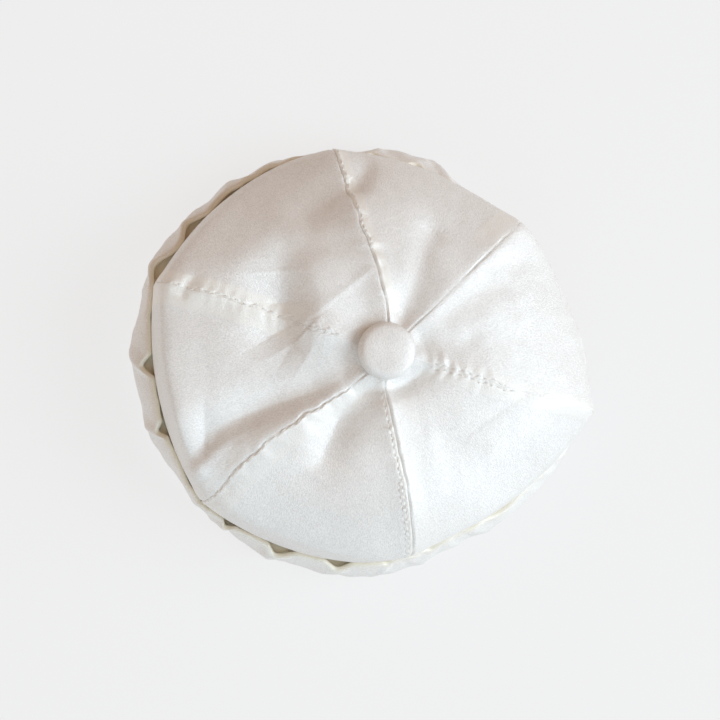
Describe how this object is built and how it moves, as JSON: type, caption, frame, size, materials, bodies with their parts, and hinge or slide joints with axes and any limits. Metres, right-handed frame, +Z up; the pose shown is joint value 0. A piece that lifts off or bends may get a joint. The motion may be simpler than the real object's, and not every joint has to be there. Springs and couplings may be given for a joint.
{
  "type": "kippah skullcap",
  "caption": "Soft satin kippah: shallow crown of sewn gores with a covered button on top and a folded, wavy binding round the open rim.",
  "frame": {"origin": "on the floor under the middle of the cap, in the plane the rim rests on", "axes": "+Z up through the button; +X along the longer way across, to the right of the picture; +Y to the top of the picture"},
  "size_m": [0.173, 0.159, 0.051],
  "materials": {
    "satin_crown": "soft satin sheen",
    "satin_binding": "soft satin sheen",
    "satin_button": "fine weave, soft sheen"
  },
  "bodies": {
    "root": {"panel_1": "satin_crown", "panel_2": "satin_crown", "panel_3": "satin_crown", "panel_4": "satin_crown", "panel_5": "satin_crown", "panel_6": "satin_crown", "rim_band": "satin_binding", "button": "satin_button"}
  },
  "joints": []
}
